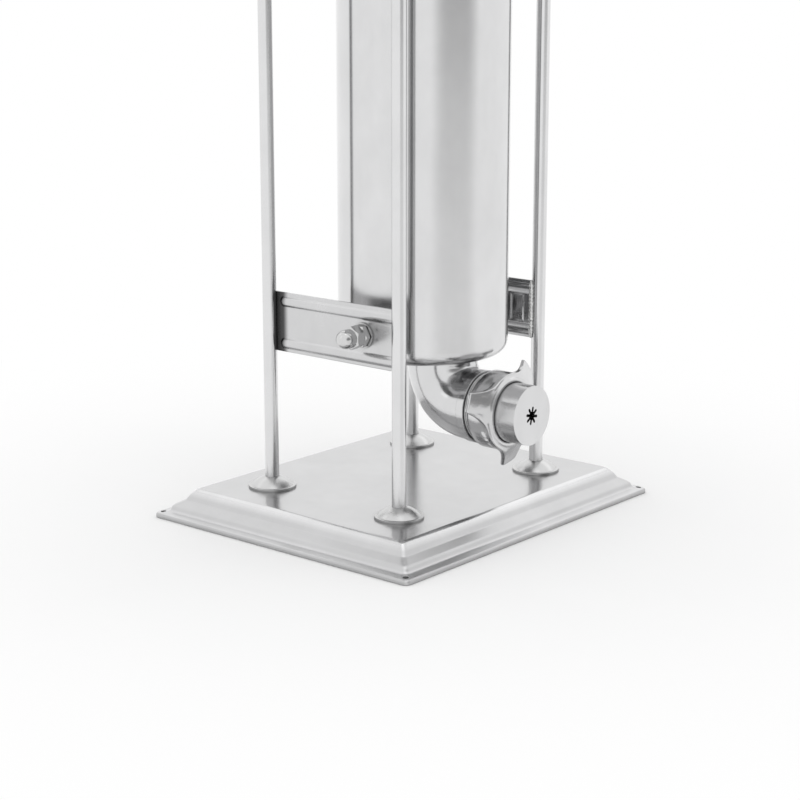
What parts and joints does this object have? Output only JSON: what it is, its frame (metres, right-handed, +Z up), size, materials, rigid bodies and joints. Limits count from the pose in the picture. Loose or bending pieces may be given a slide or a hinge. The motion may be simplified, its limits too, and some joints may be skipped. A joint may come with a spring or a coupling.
{
  "type": "churro machine",
  "caption": "Upright hand-cranked churro press: steel cylinder between posts on a stepped base, geared rack and piston above, bent outlet with a winged nut and star nozzle.",
  "frame": {"origin": "centre of the base pan on the plane it stands on, between the fixing holes", "axes": "+X to the right seen from the nozzle side, nozzle points to -Y, +Z up"},
  "size_m": [0.3793, 0.286, 0.652],
  "materials": {
    "pan_steel": "satin, cold rolled",
    "post_steel": "polished",
    "flange_steel": "spun, satin",
    "rail_steel": "pressed, satin",
    "weld_steel": "rough",
    "cylinder_steel": "polished",
    "cast_steel": "cast, polished",
    "turned_steel": "turned",
    "fastener_steel": "bright",
    "head_steel": "satin",
    "cover_steel": "brushed",
    "shaft_steel": "ground",
    "gear_steel": "machined",
    "ring_steel": "spring steel",
    "crank_steel": "satin",
    "bush_bronze": "turned",
    "guide_plastic": "matte",
    "seal_rubber": "matte, food grade",
    "grip_plastic": "fine grained",
    "piston_steel": "turned"
  },
  "bodies": {
    "frame": {"base_pan": "pan_steel", "post_front_left": "post_steel", "post_front_right": "post_steel", "post_rear_left": "post_steel", "post_rear_right": "post_steel", "flange_front_left": "flange_steel", "flange_front_right": "flange_steel", "flange_rear_left": "flange_steel", "flange_rear_right": "flange_steel", "foot_washers": "fastener_steel", "foot_nuts": "fastener_steel", "rail_left": "rail_steel", "rail_right": "rail_steel", "rail_welds": "weld_steel", "cylinder": "cylinder_steel", "pivot_pads": "cylinder_steel", "pivot_studs": "fastener_steel", "pivot_washers": "fastener_steel", "pivot_jam_nuts": "fastener_steel", "pivot_cap_nuts": "fastener_steel", "elbow": "cast_steel", "head_plate": "head_steel", "post_top_washers": "fastener_steel", "post_cap_nuts": "fastener_steel", "cheek_left": "head_steel", "cheek_right": "head_steel", "cheek_screws": "fastener_steel", "rack_guide": "guide_plastic", "guide_screws": "fastener_steel", "bearing_bushes": "bush_bronze", "gearbox_cover": "cover_steel", "cover_screws": "fastener_steel"},
    "piston": {"rack": "gear_steel", "rack_stop_screw": "fastener_steel", "piston_top_plate": "piston_steel", "piston_seal": "seal_rubber", "piston_bottom_plate": "piston_steel", "piston_washer": "fastener_steel", "piston_nut": "fastener_steel", "vent_spring": "ring_steel"},
    "vent": {"vent_valve": "piston_steel", "vent_cap": "piston_steel"},
    "fast_drive": {"fast_shaft": "shaft_steel", "spur_wheel": "gear_steel", "wheel_pin": "shaft_steel", "fast_shaft_rings": "ring_steel"},
    "crank": {"slow_shaft": "shaft_steel", "slow_shaft_rings": "ring_steel", "crank_arm": "crank_steel", "crank_washer": "fastener_steel", "crank_bolt": "fastener_steel", "grip_spindle": "shaft_steel"},
    "grip": {"grip": "grip_plastic"},
    "nozzle": {"nozzle": "turned_steel", "nozzle_gasket": "seal_rubber"},
    "nut": {"nozzle_nut": "cast_steel"}
  },
  "joints": [
    {"name": "piston_travel", "type": "slide", "parent": "frame", "child": "piston", "axis": [0, 0, 1], "range_m": [0, 0.33]},
    {"name": "fast_spin", "type": "hinge", "parent": "frame", "child": "fast_drive", "pos_m": [0, 0.001, 0.574], "axis": [-1, 0, 0], "range_deg": [-2, 1403]},
    {"name": "crank_turn", "type": "hinge", "parent": "frame", "child": "crank", "pos_m": [0, 0.05597, 0.55399], "axis": [1, 0, 0], "range_deg": [-5, 4675]},
    {"name": "grip_spin", "type": "hinge", "parent": "crank", "child": "grip", "pos_m": [0.15, -0.07403, 0.55399], "axis": [1, 0, 0], "continuous": true},
    {"name": "nozzle_draw", "type": "slide", "parent": "frame", "child": "nozzle", "axis": [0, -1, 0], "range_m": [0, 0.012]},
    {"name": "nut_turn", "type": "hinge", "parent": "nozzle", "child": "nut", "pos_m": [0, -0.105, 0.1025], "axis": [0, -1, 0], "range_deg": [-5, 1445]},
    {"name": "vent_lift", "type": "slide", "parent": "piston", "child": "vent", "axis": [0, 0, -1], "range_m": [0, 0.003], "stiffness_N_per_m": 400, "springref_m": -0.002, "deforming": ["vent_spring"]}
  ],
  "couplings": [
    {"joint": "fast_spin", "follows": "piston_travel", "rad_per_m": 74.074},
    {"joint": "crank_turn", "follows": "piston_travel", "rad_per_m": 246.91},
    {"joint": "nut_turn", "follows": "nozzle_draw", "rad_per_m": 2094.4}
  ]
}
